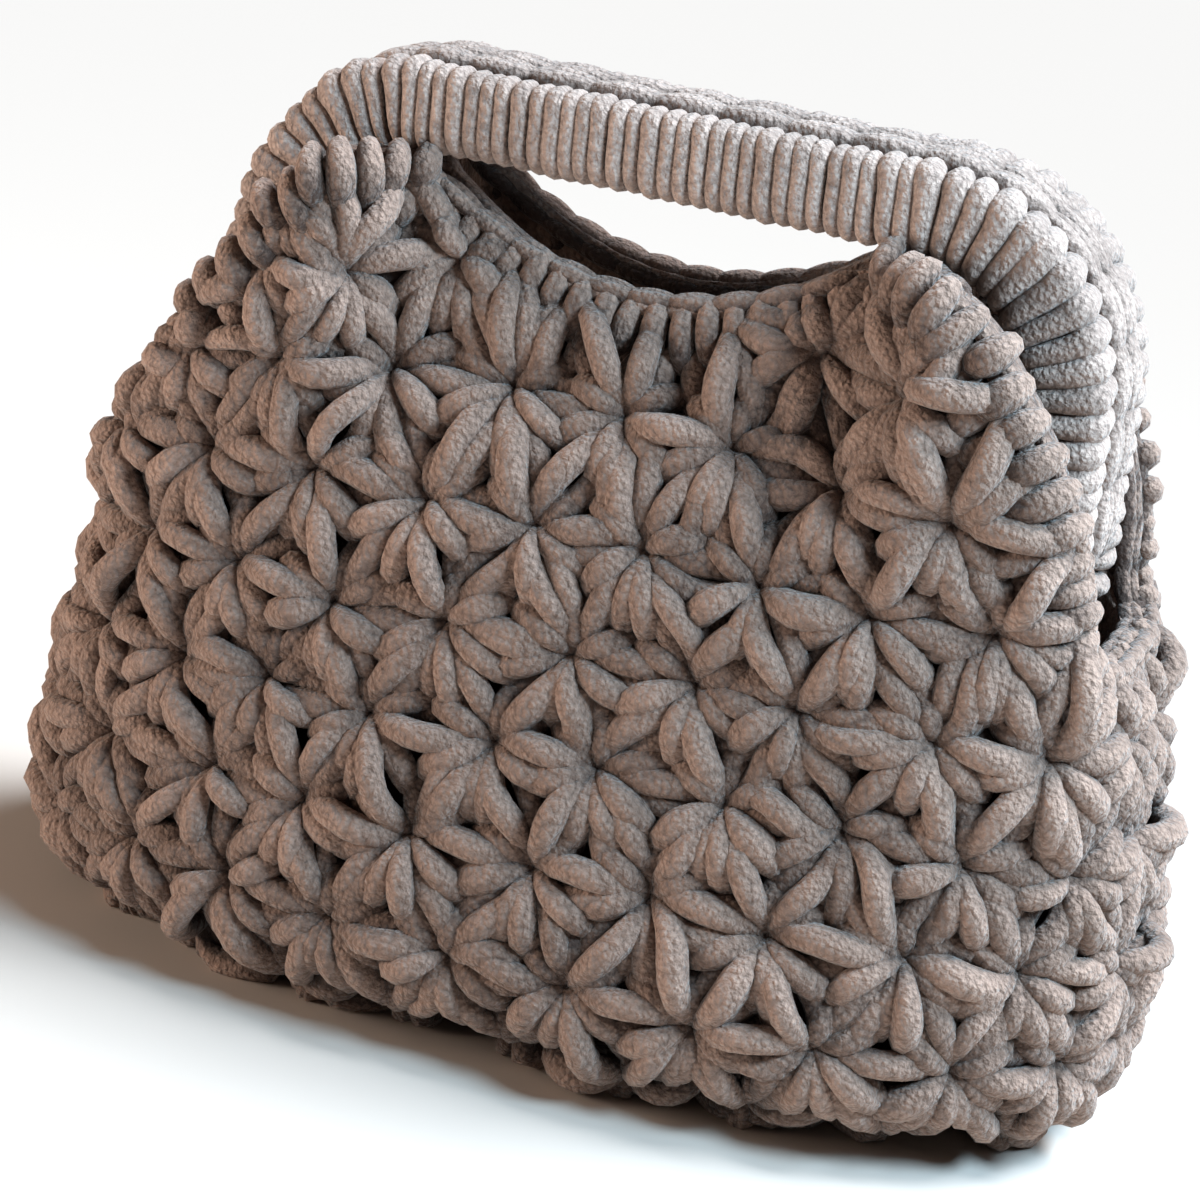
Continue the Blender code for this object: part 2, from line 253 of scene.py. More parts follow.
class BagYarn(bpy.types.PropertyGroup):
    """Yarn and stitch"""

    strand: FloatProperty(
        name="Strand diameter", description="Thickness of one puffed strand", default=0.0072,
        min=0.002, max=0.012, unit="LENGTH",
    )
    sunk: FloatProperty(
        name="Depth of the holes", description="How far a star's centre lies under the face",
        default=0.0112, min=0.0, max=0.015, unit="LENGTH",
    )
    puff: FloatProperty(
        name="Puff height", description="How far a puff's crest stands over the centre hole",
        default=0.0120, min=0.0, max=0.02, unit="LENGTH",
    )
    jitter: FloatProperty(
        name="Unevenness", description="How far hand work shifts a star from its place",
        default=0.0017, min=0.0, max=0.006, unit="LENGTH",
    )
    seed: IntProperty(name="Seed", description="Which hand-worked variation", default=7, min=0)
    body: FloatVectorProperty(
        name="Body yarn", description="Colour of the stars", subtype="COLOR", size=3,
        default=(0.325, 0.202, 0.149), min=0, max=1,
    )
    # Painted shade: the colour that strands are darkened towards where they lie deep or turn under
    deep: FloatVectorProperty(
        name="Deep yarn", description="Colour down between the strands", subtype="COLOR",
        size=3, default=(0.060, 0.034, 0.025), min=0, max=1,
    )
    # Painted light: the handles are of the body's yarn, and this lighter, less warm colour paints
    # the light that falls on them
    handle: FloatVectorProperty(
        name="Handle yarn", description="Colour of the wraps and chains", subtype="COLOR",
        size=3, default=(0.415, 0.292, 0.236), min=0, max=1,
    )


class BagHandles(bpy.types.PropertyGroup):
    """Handles and chain edges"""

    wrap_pitch: FloatProperty(
        name="Wrap pitch", description="Distance between wraps along the bar", default=0.0045,
        min=0.002, max=0.01, unit="LENGTH",
    )
    chain_pitch: FloatProperty(
        name="Chain pitch", description="Distance between links on the outer edge",
        default=0.0180, min=0.006, max=0.03, unit="LENGTH",
    )
    rim_pitch: FloatProperty(
        name="Rim pitch", description="Distance between links on the slot's edge",
        default=0.0115, min=0.005, max=0.03, unit="LENGTH",
    )


class BagStage(bpy.types.PropertyGroup):
    """Studio"""

    floor: FloatVectorProperty(
        name="Floor", description="Colour of the floor", subtype="COLOR", size=3,
        default=(0.53, 0.448, 0.388), min=0, max=1,
    )
    key: FloatProperty(name="Key light", description="Strength of the sun", default=8.8, min=0)
    window: FloatProperty(
        name="Window", description="Power of the near panel", default=7.2, min=0, unit="POWER",
    )
    fill: FloatProperty(
        name="Fill light", description="Power of the warm fill", default=6.6, min=0, unit="POWER",
    )
    sky: FloatProperty(
        name="Sky", description="Strength of the even light", default=0.06, min=0,
    )


# Shape of the shell


def unit(v):
    """Vectors over their own lengths."""
    return v / np.maximum(np.linalg.norm(v, axis=-1, keepdims=True), 1e-12)


def short_way(turn):
    """A difference of girth shares, brought to -0.5..0.5."""
    return (turn + 0.5) % 1 - 0.5


def bunched(count):
    """Places 0..1 that are closer at both ends: (1 - cos(pi k)) / 2 at even k."""
    return (1 - np.cos(np.linspace(0, math.pi, count))) / 2


def uneven(rng, spread, count):
    """Factors about 1 for hand work."""
    return 1 + rng.normal(0, spread, count)


def ease(value, low, high):
    """3t² - 2t³ with t = (value - low) / (high - low) held to 0..1."""
    t = np.clip((value - low) / (high - low), 0, 1)
    return t * t * (3 - 2 * t)


def along_table(height, column):
    """Catmull-Rom curve through a column of SECTIONS at heights in metres."""
    xs = SECTIONS[:, 0] * HANDLE_TOP
    ys = SECTIONS[:, SECTION_COLUMNS.index(column)]
    height = np.clip(height, xs[0], xs[-1])
    k = np.clip(np.searchsorted(xs, height) - 1, 0, len(xs) - 2)
    lo, hi = np.maximum(np.arange(len(xs)) - 1, 0), np.minimum(np.arange(len(xs)) + 1, len(xs) - 1)
    slope = (ys[hi] - ys[lo]) / (xs[hi] - xs[lo])
    step = xs[k + 1] - xs[k]
    t = (height - xs[k]) / step
    return (
        (2 * t**3 - 3 * t**2 + 1) * ys[k]
        + (t**3 - 2 * t**2 + t) * step * slope[k]
        + (3 * t**2 - 2 * t**3) * ys[k + 1]
        + (t**3 - t**2) * step * slope[k + 1]
    )


def slot_curve(x):
    """Height of the slot's lower edge: a parabola, SLOT_DEPTH deep, under the bar."""
    return BAR_LOW - GAP - SLOT_DEPTH * (1 - (2 * x / SLOT_WIDTH) ** 2)


def rim_height(x, side_share):
    """Height of the rim at x: slot, inside of the handle's corner, over the leg, then side.

    side_share runs from 0 at the panel's edge to 1 at the end of the bag, where a sine dips.
    """
    x = np.abs(x)
    x = x - LAP * ease(x, SLOT_WIDTH / 2 + 0.004, SHOULDER)
    within = INNER_RADIUS - GAP
    slot = slot_curve(np.minimum(x, SLOT_WIDTH / 2)) - SLOT_RIM_DIAMETER / 2
    corner = CORNER_Z + np.sqrt(np.maximum(within**2 - np.maximum(x - CORNER_X, 0) ** 2, 0))
    drop = CORNER_Z + math.sqrt(within**2 - (SHOULDER - CORNER_X) ** 2) - SIDE_RIM
    leg = SIDE_RIM + drop * np.maximum(1 - (x - SHOULDER) / (PANEL_EDGE - SHOULDER), 0) ** 0.6
    side = SIDE_RIM - SIDE_DIP * np.sin(math.pi / 2 * np.clip(side_share, 0, 1)) ** 2
    rim = np.where(x <= SLOT_WIDTH / 2 + GAP, slot, np.where(x <= SHOULDER, corner, leg))
    return np.where(side_share > 0, side, rim)


def quarter_table(levels, inset, samples=181):
    """x and y of a quarter of each section at even shares of its arc, and the whole girth.

    x = a sin(u)^(2/n), y = b cos(u)^(2/n), with b held over the legs above the side rim.
    """
    a = BODY_WIDTH / 2 * along_table(levels, "width") - inset
    n = along_table(levels, "squareness")[:, None]
    turn = np.linspace(0, math.pi / 2, samples)[None]
    x = a[:, None] * np.sin(turn) ** (2 / n)
    kept = BODY_DEPTH / 2 * along_table(np.minimum(levels, SIDE_RIM), "depth")[:, None]
    own = BODY_DEPTH / 2 * along_table(levels, "depth")[:, None]
    over_leg = ease(x, 0.9 * SLOT_WIDTH / 2, 0.95 * SHOULDER)
    y = (own + over_leg * (kept - own) - inset) * np.cos(turn) ** (2 / n)
    arc = np.concatenate(
        [np.zeros((len(levels), 1)), np.cumsum(np.hypot(np.diff(x), np.diff(y)), axis=1)], axis=1
    )
    shares = np.linspace(0, 1, samples)
    even_x = np.stack([np.interp(shares * s[-1], s, row) for s, row in zip(arc, x)])
    even_y = np.stack([np.interp(shares * s[-1], s, row) for s, row in zip(arc, y)])
    return even_x, even_y, arc[:, -1] * 4


class Shell:
    """Face of the worked shell as a function of girth share and level, by table look-up."""

    def __init__(self, inset=0.0):
        self.levels = np.linspace(0, BAR_LOW, 120)
        self.x, self.y, self.girth = quarter_table(self.levels, inset)

    def point(self, share, level):
        """Point at a girth share (0 front middle, 0.25 right) and level (< 0 on the base)."""
        share, level = np.broadcast_arrays(share, level)
        four = (share % 1) * 4
        quadrant = np.floor(four).astype(int) % 4
        part = four - np.floor(four)
        part = np.where(quadrant % 2 == 1, 1 - part, part)
        column = part * (self.x.shape[1] - 1)
        row = np.clip(level, 0, self.levels[-1]) / self.levels[-1] * (len(self.levels) - 1)
        c0 = np.minimum(column.astype(int), self.x.shape[1] - 2)
        r0 = np.minimum(row.astype(int), len(self.levels) - 2)
        fc, fr = column - c0, row - r0

        def mixed(table):
            """The table's four nearest values, weighted by how near they are."""
            low = table[r0, c0] * (1 - fc) + table[r0, c0 + 1] * fc
            high = table[r0 + 1, c0] * (1 - fc) + table[r0 + 1, c0 + 1] * fc
            return low * (1 - fr) + high * fr

        x, y = mixed(self.x), mixed(self.y)
        inside = np.maximum(-level, 0)
        x = x * (1 - inside / self.x[0].max())
        y = y * (1 - np.minimum(inside / self.y[0].max(), 0.97))
        x = np.where(quadrant < 2, x, -x)
        y = np.where((quadrant == 0) | (quadrant == 3), -y, y)
        return np.stack([x, y, np.maximum(level, 0) + 0 * x], axis=-1)

    def normal(self, share, level):
        """Outward unit normal, from differences along the girth and up the wall."""
        wall = np.maximum(level, 0.004)
        along = self.point(share + 0.004, wall) - self.point(share - 0.004, wall)
        up = self.point(share, wall + 0.003) - self.point(share, np.maximum(wall - 0.003, 0))
        out = unit(np.cross(along, up))
        down = np.array([0.0, 0.0, -1.0])
        mix = ease(-level, -0.010, 0.012)[..., None]
        return unit(out * (1 - mix) + down * mix)

    def girth_at(self, level):
        """Girth at a level. On the base it shrinks by 5.6 times the distance in."""
        inside = np.maximum(-np.asarray(level, float), 0)
        return np.interp(np.maximum(level, 0), self.levels, self.girth) - 5.6 * inside

    def dented(self, share, level):
        """Depth of the soft dents: a sum of Gaussians over girth and height."""
        depth = np.zeros(np.broadcast(share, level).shape)
        for girth, height, spread, rise, deep in DENTS:
            gone = np.abs(short_way(share - girth)) * self.girth_at(level) / spread
            depth += deep * np.exp(-(gone**2) - ((level - height * HANDLE_TOP) / rise) ** 2)
        return depth


def leaned(points):
    """x + SHOULDER_LEAN · ease(-x) · ease(z): the left shoulder is drawn to the middle."""
    left = ease(-points[:, 0], 0.39 * HANDLE_WIDTH / 2, 0.98 * HANDLE_WIDTH / 2)
    high = ease(points[:, 2], 0.52 * HANDLE_TOP, 0.79 * HANDLE_TOP)
    return points + (SHOULDER_LEAN * left * high)[:, None] * (1.0, 0.0, 0.0)


SHELL = Shell()


def rim_line(shares):
    """Level of the rim at girth shares: rim_height at the x that the shell has at that level.

    The two depend on each other, so the level is drawn towards its height 40 times.
    """
    level = np.full(len(shares), SIDE_RIM)
    most = SHELL.point(np.array([0.25]), np.array([SIDE_RIM]))[0, 0]
    for _ in range(40):
        x = np.abs(SHELL.point(shares, level)[:, 0])
        edge = PANEL_EDGE + LAP
        past = np.where(x > edge, (x - edge) / (most - edge), 0)
        level = 0.6 * level + 0.4 * rim_height(x, past)
    return level


# Outline of a handle


def arch(s, inset):
    """Place and inward normal at arc length s from the top's middle, in the plane of x and z.

    Straight top, a corner of CORNER_RADIUS - inset, then a leg leaning out by LEG_FLARE.
    """
    radius, side, s = CORNER_RADIUS - inset, np.sign(s), np.abs(s)
    turn = math.pi / 2 - LEG_FLARE
    bend = radius * turn
    angle = np.clip((s - CORNER_X) / radius, 0, turn)
    past = np.maximum(s - CORNER_X - bend, 0)
    x = np.minimum(s, CORNER_X) + radius * np.sin(angle) + past * math.sin(LEG_FLARE)
    z = CORNER_Z + radius * np.cos(angle) - past * math.cos(LEG_FLARE)
    place = np.stack([x * side, 0 * x, z], axis=-1)
    inward = np.stack([-np.sin(angle) * side, 0 * x, -np.cos(angle)], axis=-1)
    return place, inward


def arch_half(inset):
    """Arc length from the top's middle to the foot."""
    radius, turn = CORNER_RADIUS - inset, math.pi / 2 - LEG_FLARE
    end = CORNER_Z + radius * math.cos(turn)
    return CORNER_X + radius * turn + (end - SIDE_RIM + FOOT_SINK) / math.cos(LEG_FLARE)


# Meshes from arrays


def valley(height):
    """Painted shade 0..1 of a place by how far it lies under the crests, as a smooth ramp."""
    return np.clip((CREST - height) / VALLEY, 0, 1) ** 1.15


def tube_faces(rings, sides):
    """Faces of one tube with a pole at each end, and v of the UV map at their corners."""
    r, s = np.meshgrid(np.arange(rings - 1), np.arange(sides), indexing="ij")
    a, b = r * sides + s, r * sides + (s + 1) % sides
    quads = np.stack([a, b, b + sides, a + sides], axis=-1).reshape(-1, 4)
    s, last, pole = np.arange(sides), (rings - 1) * sides, rings * sides
    start = np.stack([np.full(sides, pole), (s + 1) % sides, s], axis=-1)
    end = np.stack([np.full(sides, pole + 1), last + s, last + (s + 1) % sides], axis=-1)
    v_quads = np.tile(np.stack([s, s + 1, s + 1, s], axis=-1) / sides, (rings - 1, 1))
    v_start = np.stack([0 * s + 0.5, s + 1.0, s + 0.0], axis=-1) / sides
    v_end = np.stack([0 * s + 0.5, s + 0.0, s + 1.0], axis=-1) / sides
    return quads, np.concatenate([start, end]), v_quads, np.concatenate([v_start, v_end])


def tubes(paths, radii, reference, sides, painted_shade, tone, underside_shade=YARN_UNDERSIDE_SHADE):
    """Closed tubes: ring point = path + r (cos v · n + sin v · b), with a pole at each end.

    paths is [count, rings, 3], radii and burial [count, rings], reference the outward side.
    n is that side, square to the path. A pole stands 0.75 r past the path's end.
    Painted shade ("deep") = burial + groove ((1 - cos v) / 2)^1.3, shade painted along the path and
    on the underside, and u is the length along the path.
    """
    count, rings = radii.shape
    tangent = unit(np.gradient(paths, axis=1))
    normal = unit(reference - (reference * tangent).sum(-1, keepdims=True) * tangent)
    across = np.cross(tangent, normal)
    v = np.arange(sides) * (2 * math.pi / sides)
    ring = (
        paths[:, :, None]
        + radii[:, :, None, None] * (
            np.cos(v)[None, None, :, None] * normal[:, :, None]
            + np.sin(v)[None, None, :, None] * across[:, :, None]
        )
    )
    poles = np.stack(
        [
            paths[:, 0] - tangent[:, 0] * radii[:, :1] * 0.75,
            paths[:, -1] + tangent[:, -1] * radii[:, -1:] * 0.75,
        ],
        axis=1,
    )
    points = np.concatenate([ring.reshape(count, rings * sides, 3), poles], axis=1)
    quads, tris, v_quads, v_tris = tube_faces(rings, sides)
    per = rings * sides + 2
    step = (np.arange(count) * per)[:, None, None]
    length = np.concatenate(
        [np.zeros((count, 1)), np.cumsum(np.linalg.norm(np.diff(paths, axis=1), axis=-1), axis=1)],
        axis=1,
    )
    u_ring = np.repeat(length[:, :, None], sides, axis=2).reshape(count, -1)
    u = np.concatenate([u_ring, length[:, :1], length[:, -1:]], axis=1)
    # Painted shade at each point of a ring: the path's shade, and more on the strand's underside
    ring_shade = painted_shade[:, :, None] + underside_shade * ((1 - np.cos(v)) / 2) ** 1.3
    deep = np.concatenate([ring_shade.reshape(count, -1), painted_shade[:, [0, -1]]], axis=1)
    return {
        "points": points.reshape(-1, 3),
        "quads": (quads[None] + step).reshape(-1, 4),
        "tris": (tris[None] + step).reshape(-1, 3),
        "u": u.reshape(-1),
        "v_quads": np.tile(v_quads, (count, 1)),
        "v_tris": np.tile(v_tris, (count, 1)),
        "deep": np.clip(deep.reshape(-1), 0, 1),
        "tone": np.repeat(tone, per),
    }


def joined(parts):
    """One set of arrays from several, with face indices moved along."""
    starts = np.cumsum([0] + [len(p["points"]) for p in parts[:-1]])
    out = {
        k: np.concatenate([p[k] for p in parts])
        for k in ("points", "u", "v_quads", "v_tris", "deep", "tone")
    }
    out["quads"] = np.concatenate([p["quads"] + s for p, s in zip(parts, starts)])
    out["tris"] = np.concatenate([p["tris"] + s for p, s in zip(parts, starts)])
    return out


def new_piece(name, data, material, node):
    """Mesh object from arrays, smooth, riding on the root and standing for a node."""
    quads, tris = data["quads"], data["tris"]
    mesh = bpy.data.meshes.new(name)
    mesh.vertices.add(len(data["points"]))
    mesh.vertices.foreach_set("co", leaned(data["points"]).astype(np.float32).ravel())
    corners = np.concatenate([quads.ravel(), tris.ravel()]).astype(np.int32)
    mesh.loops.add(len(corners))
    mesh.loops.foreach_set("vertex_index", corners)
    starts = np.concatenate(
        [np.arange(len(quads)) * 4, len(quads) * 4 + np.arange(len(tris)) * 3]
    ).astype(np.int32)
    mesh.polygons.add(len(starts))
    mesh.polygons.foreach_set("loop_start", starts)
    mesh.polygons.foreach_set("use_smooth", np.ones(len(starts), bool))
    mesh.update(calc_edges=True)
    uv = mesh.uv_layers.new(name="yarn")
    v = np.concatenate([data["v_quads"].ravel(), data["v_tris"].ravel()])
    uv.data.foreach_set(
        "uv", np.stack([data["u"][corners], v], axis=-1).astype(np.float32).ravel()
    )
    # "deep" carries the painted shade, "tone" the strand's own random tone
    for key in ("deep", "tone"):
        layer = mesh.attributes.new(key, "FLOAT", "POINT")
        layer.data.foreach_set("value", data[key].astype(np.float32))
    mesh.validate()
    obj = bpy.data.objects.new(name, mesh)
    bpy.context.scene.collection.objects.link(obj)
    mesh.materials.append(material)
    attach(obj, "root")
    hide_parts(node)
    return obj


# Shader maths


class Sock:
    """A shader value that takes Python's operators; each adds its Math node."""

    def __init__(self, build, link):
        self.build, self.link = build, link

    def _math(self, kind, *others):
        return self.build.node("ShaderNodeMath", {"operation": kind}, [self, *others])

    def __add__(self, other):
        return self._math("ADD", other)

    def __sub__(self, other):
        return self._math("SUBTRACT", other)

    def __mul__(self, other):
        return self._math("MULTIPLY", other)

    def __rsub__(self, other):
        return self.build.node("ShaderNodeMath", {"operation": "SUBTRACT"}, [other, self])

    __radd__, __rmul__ = __add__, __mul__

    def held(self):
        """The value held to 0..1."""
        return self.build.node("ShaderNodeClamp", {}, [self])


class Yarn:
    """One yarn material of YARN_SURFACE, and the nodes that are built into it."""

    def __init__(self, name):
        self.material = bpy.data.materials.new(name)
        self.material.use_nodes = True
        self.tree = self.material.node_tree
        self.shader = self.tree.nodes["Principled BSDF"]
        for key, value in YARN_SURFACE.items():
            self.shader.inputs[key].default_value = value

    def node(self, kind, settings, inputs, output=0):
        """A node of a kind, its settings first, then the values or links of its sockets."""
        made = self.tree.nodes.new(kind)
        for key, value in settings.items():
            setattr(made, key, value)
        pairs = inputs.items() if isinstance(inputs, dict) else enumerate(inputs)
        for key, value in pairs:
            if isinstance(value, Sock):
                self.tree.links.new(value.link, made.inputs[key])
            elif value is not None:
                made.inputs[key].default_value = value
        return Sock(self, made.outputs[output])

    def mix_colour(self, share, low, high):
        """Colour between low and high by share."""
        low, high = ((*c, 1) if isinstance(c, tuple) else c for c in (low, high))
        made = self.tree.nodes.new("ShaderNodeMix")
        made.data_type = "RGBA"
        for key, value in ((0, share), (6, low), (7, high)):
            if isinstance(value, Sock):
                self.tree.links.new(value.link, made.inputs[key])
            else:
                made.inputs[key].default_value = value
        return Sock(self, made.outputs[2])

    def feed(self, name, sock):
        """Link a value to one of the shader's inputs."""
        self.tree.links.new(sock.link, self.shader.inputs[name])


def chenille(name, colour, deep, bump):
    """Chenille yarn: short pile in soft nubs, painted shade down in the work, uneven in tone.

    Painted shade towards deep = the mesh's "deep" + nubs - pile, darkening the relief's low spots,
    + soft patches, a random tone. The yarn's own colour lies between darker and paler by the
    mesh's "tone" and broad patches.
    """
    yarn = Yarn(name)
    where = yarn.node("ShaderNodeTexCoord", {}, {}, "Object")
    nubs = yarn.node(
        "ShaderNodeTexVoronoi", {"feature": "SMOOTH_F1"},
        {"Vector": where, "Scale": NUBS, "Smoothness": 0.45}, "Distance",
    )
    pile, soft, broad = (
        yarn.node("ShaderNodeTexNoise", {}, {"Vector": where, "Scale": scale, "Detail": detail})
        for scale, detail in ((PILE, 3.0), (SOFT, 2.0), (BROAD, 1.0))
    )
    # Painted shade that the mesh carries in its "deep" attribute
    sunk = yarn.node("ShaderNodeAttribute", {"attribute_name": "deep"}, {}, "Fac")
    tone = yarn.node("ShaderNodeAttribute", {"attribute_name": "tone"}, {}, "Fac")
    down, balls, fine, patches, less = SHADE
    # Painted shade from depth and the relief's low spots, and a random tone from soft patches
    shade = sunk * down + nubs * balls - (pile - 0.5) * fine + (soft - 0.5) * patches - less
    paler = tuple(min(1.0, c * PALER + PALER_LIFT) for c in colour)
    darker = tuple(c * DARKER for c in colour)
    strand, patches, least = TONE
    pale = tone * strand + (broad - 0.5) * patches + least
    own = yarn.mix_colour(pale.held(), darker, paler)
    # Base colour: the yarn's own colour, darkened by the painted shade
    yarn.feed("Base Color", yarn.mix_colour(shade.held(), own, deep))
    height = (1 - nubs) * RELIEF[0] + pile * RELIEF[1] + soft * RELIEF[2]
    raised = yarn.node(
        "ShaderNodeBump", {}, {"Strength": bump, "Distance": RELIEF_DEPTH, "Height": height}
    )
    yarn.feed("Normal", raised)
    return yarn.material


# Stars of the stitch


def star_sites():
    """Girth share, level and kind of every site: True for a star, False for a point on the rim."""
    yarn = bpy.context.scene.bag_yarn
    rng = np.random.default_rng(yarn.seed)
    share, level, star = [], [], []
    for at, x, count in STAR_ROWS:
        girth = float(SHELL.girth_at(at))
        phi = (x / girth + np.arange(count) / count) % 1
        phi = (phi + rng.normal(0, yarn.jitter, count) / girth) % 1
        z = at + rng.normal(0, yarn.jitter * LEVEL_SHIFT if at > LEVEL_ROWS else 0.0, count)
        across = SHELL.point(phi, np.full(count, at))[:, 0]
        lifted = ease(at, LIFT_FROM, LIFT_TO) * np.exp(-((across / LIFT_WIDTH) ** 2))
        z = z + SLOT_LIFT * lifted
        keep = rim_line(phi) > z + RIM_STRIP
        share.append(phi[keep])
        level.append(z[keep])
        star.append(np.ones(keep.sum(), bool))
    phi, rim = rim_points(RIM_SITE_PITCH, RIM_SITE_START)
    share.append(phi)
    level.append(rim - RIM_SITE_DROP)
    star.append(np.zeros(len(phi), bool))
    return tuple(np.concatenate(v) for v in (share, level, star))


def rim_points(pitch, start):
    """Shares and levels of points at even steps along the rim, the first one start steps on."""
    shares = np.linspace(0, 1, 4001)
    rim = rim_line(shares)
    line = SHELL.point(shares, rim)
    run = np.concatenate([[0], np.cumsum(np.linalg.norm(np.diff(line, axis=0), axis=-1))])
    count = int(round(run[-1] / pitch))
    at = (np.arange(count) + start) * run[-1] / count
    return np.interp(at, run, shares), np.interp(at, run, rim)


def star_edges(share, level, star):
    """Pairs of sites joined by a puff, at least one of them a star, that cross no shorter pair.

    Two stars join when nearer than STAR_REACH, a star and a point on the rim when nearer than
    RIM_REACH, and no two sites nearer than LEAST_REACH.
    """
    place = SHELL.point(share, level)
    rows, columns = np.triu_indices(len(share), 1)
    gone = np.linalg.norm(place[rows] - place[columns], axis=-1)
    reach = np.where(star[rows] & star[columns], STAR_REACH, RIM_REACH)
    near = (gone < reach) & (star[rows] | star[columns]) & (gone > LEAST_REACH)
    pairs = np.stack([rows[near], columns[near]], axis=-1)
    return pairs[~crossed(share, level, pairs, gone[near])]


def crossed(share, level, pairs, length):
    """Which pairs cross a shorter one, seen on the unrolled shell."""
    girth = SHELL.girth_at(level)
    a, b = pairs[:, 0], pairs[:, 1]
    turn = short_way(share[b] - share[a])
    middle = (share[a] + turn / 2) % 1
    size = (girth[a] + girth[b]) / 2
    half = np.stack([turn * size, level[b] - level[a]], axis=-1) / 2
    spot = np.stack([middle, (level[a] + level[b]) / 2], axis=-1)
    gap = spot[None] - spot[:, None]
    gap[..., 0] = short_way(gap[..., 0]) * size[:, None]

    def side(u, v):
        """On which side of u the vector v points, as the size of their cross product."""
        return u[..., 0] * v[..., 1] - u[..., 1] * v[..., 0]

    d, e = np.broadcast_arrays(half[:, None], half[None])
    det = side(d, e)
    det = np.where(np.abs(det) < 1e-12, 1e-12, det)
    t, w = side(gap, e) / det, side(gap, d) / det
    share_end = (
        (a[:, None] == a[None]) | (a[:, None] == b[None])
        | (b[:, None] == a[None]) | (b[:, None] == b[None])
    )
    meet = (np.abs(t) < CROSSING) & (np.abs(w) < CROSSING) & ~share_end
    return (meet & (length[:, None] > length[None])).any(axis=1)


def tones(rng, middle, spread, count):
    """Tone of each strand, from 0 for darker to 1 for paler."""
    return np.clip(rng.normal(middle, spread, count), 0, 1)


def puff_strands(share, level, pairs, region):
    """The two strands of every puff.

    Along t the base path is the shell between two centres. With hill = sin(pi t) and
    angle = swing + twist (t - 0.5), by which the strands turn about each other,
    sideways = w hill^0.8 cos(angle) + 0.35 bow sin(2 pi t),
    height = -sunk + h hill^0.68 + 0.6 w hill sin(angle), less the dents, and
    radius = r (0.5 + 0.5 hill^0.45).
    """
    yarn = bpy.context.scene.bag_yarn
    rng = np.random.default_rng(yarn.seed + 1)
    count = len(pairs)
    a, b = pairs[:, 0], pairs[:, 1]
    turn = short_way(share[b] - share[a])
    swing = rng.normal(0, PUFF_SWING, count)
    twist = rng.normal(0, PUFF_TWIST, count)
    flip = np.where(rng.random(count) < 0.5, -1.0, 1.0)
    t = np.ones((count, 1)) * bunched(PUFF_RINGS)[None]
    hill = np.sin(math.pi * t)
    phi = share[a][:, None] + turn[:, None] * t
    lev = level[a][:, None] + (level[b] - level[a])[:, None] * t
    base, out = SHELL.point(phi, lev), SHELL.normal(phi, lev)
    across = unit(np.cross(out, unit(np.gradient(base, axis=1))))
    angle = swing[:, None] + twist[:, None] * (t - 0.5)
    strands = []
    for side, high, thick in PUFF_STRANDS:
        w = side * flip * yarn.strand * uneven(rng, 0.10, count)
        h = yarn.puff * high * uneven(rng, 0.16, count)
        r = yarn.strand / 2 * thick * uneven(rng, 0.05, count)
        bow = 0.8 * yarn.strand / 2 * rng.normal(0, 1, count)
        sway = w[:, None] * hill**0.8 * np.cos(angle)
        sway = sway + bow[:, None] * np.sin(2 * math.pi * t) * 0.35
        rise = -yarn.sunk + h[:, None] * hill**0.68 + 0.6 * w[:, None] * hill * np.sin(angle)
        radius = r[:, None] * (0.50 + 0.50 * hill**0.45)
        # Painted shade: the strand is painted darker where it dives down to the star's centre
        depth_shade = valley(rise + radius / 2)
        rise = rise - SHELL.dented(phi, lev)
        path = base + across * sway[..., None] + out * rise[..., None]
        path[..., 2] = np.maximum(path[..., 2], radius * PRESSED)
        strands.append((path, radius, out, depth_shade, tones(rng, 0.5, 0.22, count), region))
    return strands


def star_gaps(share, level, star, pairs):
    """Gaps between neighbouring puffs round each star: site, first direction, gap and length."""
    a = np.concatenate([pairs[:, 0], pairs[:, 1]])
    b = np.concatenate([pairs[:, 1], pairs[:, 0]])
    turn = short_way(share[b] - share[a])
    size = (SHELL.girth_at(level)[a] + SHELL.girth_at(level)[b]) / 2
    step = np.stack([turn * size, level[b] - level[a]], axis=-1)
    heading = np.arctan2(step[:, 1], step[:, 0]) % (2 * math.pi)
    order = np.lexsort((heading, a))
    a, heading, length = a[order], heading[order], np.linalg.norm(step, axis=-1)[order]
    first = np.searchsorted(a, a, side="left")
    after = np.arange(len(a)) + 1
    after = np.where(np.append(a[1:], -1) == a, after, first)
    gap = (heading[after] - heading) % (2 * math.pi)
    kept = star[a] & (gap > LEAST_GAP) & (gap < MOST_GAP)
    return a[kept], heading[kept], gap[kept], ((length + length[after]) / 2)[kept]


